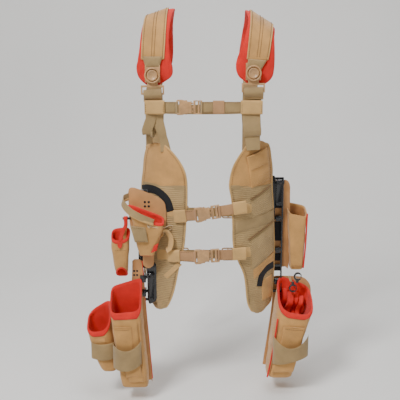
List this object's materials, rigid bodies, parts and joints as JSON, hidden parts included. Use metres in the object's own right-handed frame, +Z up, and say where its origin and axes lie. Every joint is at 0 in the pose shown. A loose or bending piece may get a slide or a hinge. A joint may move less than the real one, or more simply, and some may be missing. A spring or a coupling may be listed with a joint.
{
  "type": "tool vest",
  "caption": "Padded tool vest: shoulder straps, two front panels, buckled chest and waist straps, and tool pouches that lift off side rails.",
  "frame": {"origin": "midway between the two shoulder rests, level with the top of the wearer's shoulders", "axes": "+Z up, -Y out of the front of the vest, +X towards the wearer's left hand"},
  "size_m": [0.5454, 0.301, 0.8835],
  "materials": {
    "tan_cloth": "woven nylon cloth",
    "lining": "spacer mesh over foam",
    "webbing": "ribbed nylon webbing",
    "black_plastic": "moulded",
    "tan_plastic": "moulded",
    "hide": "smooth laminate",
    "cord": "braided"
  },
  "bodies": {
    "vest": {"shoulder_pad_left": "lining", "shoulder_pad_right": "lining", "shoulder_cover_left": "tan_cloth", "shoulder_cover_right": "tan_cloth", "swivel_base_left": "tan_plastic", "swivel_base_right": "tan_plastic", "harness_webbing_left": "webbing", "harness_webbing_right": "webbing", "keeper_left": "webbing", "keeper_right": "webbing", "chest_strap_left": "webbing", "upper_strap_left": "webbing", "lower_strap_left": "webbing", "chest_socket": "tan_plastic", "upper_socket": "tan_plastic", "lower_socket": "tan_plastic", "upper_sleeve_left": "tan_cloth", "upper_sleeve_right": "tan_cloth", "lower_sleeve_left": "tan_cloth", "lower_sleeve_right": "tan_cloth", "panel_left": "tan_cloth", "panel_right": "tan_cloth", "flap_pocket": "tan_cloth", "rail_left": "black_plastic", "rail_right": "black_plastic", "back_harness": "webbing"},
    "swivel_left": {"swivel_loop_left": "tan_plastic"},
    "swivel_right": {"swivel_loop_right": "tan_plastic"},
    "chest_plug": {"chest_plug": "tan_plastic", "chest_strap_right": "webbing"},
    "upper_plug": {"upper_plug": "tan_plastic", "upper_strap_right": "webbing"},
    "lower_plug": {"lower_plug": "tan_plastic", "lower_strap_right": "webbing"},
    "pocket_flap": {"pocket_flap": "tan_cloth"},
    "latch_left": {"latch_left": "black_plastic"},
    "latch_right": {"latch_right": "black_plastic"},
    "tool_holder": {"tool_holder": "tan_cloth", "holder_plate": "hide", "holder_cord": "cord"},
    "small_pouch": {"small_pouch": "tan_cloth", "pouch_hanger": "webbing"},
    "bag_left": {"bag_left_plate": "hide", "bag_left_clip": "black_plastic", "bag_left": "tan_cloth", "bag_left_front": "tan_cloth", "bag_left_sleeve": "tan_cloth"},
    "holster": {"holster": "tan_cloth"},
    "bag_right": {"bag_right_plate": "hide", "bag_right": "tan_cloth", "bag_right_sleeve": "tan_cloth", "snap_hooks": "black_plastic"},
    "gate_a": {"gate_a": "black_plastic"},
    "gate_b": {"gate_b": "black_plastic"},
    "chest_prong_top": {"chest_prong_top": "tan_plastic"},
    "chest_prong_bottom": {"chest_prong_bottom": "tan_plastic"},
    "upper_prong_top": {"upper_prong_top": "tan_plastic"},
    "upper_prong_bottom": {"upper_prong_bottom": "tan_plastic"},
    "lower_prong_top": {"lower_prong_top": "tan_plastic"},
    "lower_prong_bottom": {"lower_prong_bottom": "tan_plastic"}
  },
  "joints": [
    {"name": "swivel_left", "type": "hinge", "parent": "vest", "child": "swivel_left", "pos_m": [-0.12, -0.108, -0.136], "axis": [0, 1, 0], "range_deg": [-7, 7]},
    {"name": "swivel_right", "type": "hinge", "parent": "vest", "child": "swivel_right", "pos_m": [0.105, -0.108, -0.131], "axis": [0, 1, 0], "range_deg": [-7, 7]},
    {"name": "chest_release", "type": "slide", "parent": "vest", "child": "chest_plug", "axis": [1, 0, 0], "range_m": [0, 0.028]},
    {"name": "chest_pinch_top", "type": "hinge", "parent": "chest_plug", "child": "chest_prong_top", "pos_m": [-0.0294, -0.1092, -0.198], "axis": [0, -1, 0], "range_deg": [0, 7], "stiffness_Nm_per_rad": 0.4},
    {"name": "chest_pinch_bottom", "type": "hinge", "parent": "chest_plug", "child": "chest_prong_bottom", "pos_m": [-0.0294, -0.1092, -0.216], "axis": [0, 1, 0], "range_deg": [0, 7], "stiffness_Nm_per_rad": 0.4},
    {"name": "upper_release", "type": "slide", "parent": "vest", "child": "upper_plug", "axis": [0.9806, 0.1378, 0.1392], "range_m": [0, 0.028]},
    {"name": "upper_pinch_top", "type": "hinge", "parent": "upper_plug", "child": "upper_prong_top", "pos_m": [0.01019, -0.12899, -0.43589], "axis": [0.1392, -0.9903, 0], "range_deg": [0, 7], "stiffness_Nm_per_rad": 0.4},
    {"name": "upper_pinch_bottom", "type": "hinge", "parent": "upper_plug", "child": "upper_prong_bottom", "pos_m": [0.01267, -0.12864, -0.45372], "axis": [-0.1392, 0.9903, 0], "range_deg": [0, 7], "stiffness_Nm_per_rad": 0.4},
    {"name": "lower_release", "type": "slide", "parent": "vest", "child": "lower_plug", "axis": [0.9897, 0.1391, 0.0349], "range_m": [0, 0.028]},
    {"name": "lower_pinch_top", "type": "hinge", "parent": "lower_plug", "child": "lower_prong_top", "pos_m": [0.0102, -0.12735, -0.5387], "axis": [0.1392, -0.9903, 0], "range_deg": [0, 7], "stiffness_Nm_per_rad": 0.4},
    {"name": "lower_pinch_bottom", "type": "hinge", "parent": "lower_plug", "child": "lower_prong_bottom", "pos_m": [0.01082, -0.12726, -0.55669], "axis": [-0.1392, 0.9903, 0], "range_deg": [0, 7], "stiffness_Nm_per_rad": 0.4},
    {"name": "flap_lift", "type": "hinge", "parent": "vest", "child": "pocket_flap", "pos_m": [0.116, -0.09656, -0.312], "axis": [-0.7975, -0.524, -0.2991], "range_deg": [0, 90]},
    {"name": "latch_left_pull", "type": "hinge", "parent": "vest", "child": "latch_left", "pos_m": [-0.13, -0.0935, -0.604], "axis": [-1, 0, 0], "range_deg": [0, 22], "stiffness_Nm_per_rad": 0.3},
    {"name": "latch_right_pull", "type": "hinge", "parent": "vest", "child": "latch_right", "pos_m": [0.176, -0.03, -0.392], "axis": [-1, 0, 0], "range_deg": [0, 22], "stiffness_Nm_per_rad": 0.3},
    {"name": "holder_lift", "type": "slide", "parent": "vest", "child": "tool_holder", "axis": [0, 0, 1], "range_m": [0, 0.014]},
    {"name": "bag_left_lift", "type": "slide", "parent": "vest", "child": "bag_left", "axis": [0, 0, 1], "range_m": [0, 0.014]},
    {"name": "holster_lift", "type": "slide", "parent": "vest", "child": "holster", "axis": [0, 0, 1], "range_m": [0, 0.014]},
    {"name": "bag_right_lift", "type": "slide", "parent": "vest", "child": "bag_right", "axis": [0, 0, 1], "range_m": [0, 0.014]},
    {"name": "small_pouch_swing", "type": "hinge", "parent": "tool_holder", "child": "small_pouch", "pos_m": [-0.186, -0.1085, -0.463], "axis": [1, 0, 0], "range_deg": [-15, 15]},
    {"name": "gate_a_push", "type": "hinge", "parent": "bag_right", "child": "gate_a", "pos_m": [0.232, -0.05, -0.6266], "axis": [0, -1, 0], "range_deg": [0, 25], "stiffness_Nm_per_rad": 0.05},
    {"name": "gate_b_push", "type": "hinge", "parent": "bag_right", "child": "gate_b", "pos_m": [0.221, -0.05, -0.6566], "axis": [0, -1, 0], "range_deg": [0, 25], "stiffness_Nm_per_rad": 0.05}
  ]
}
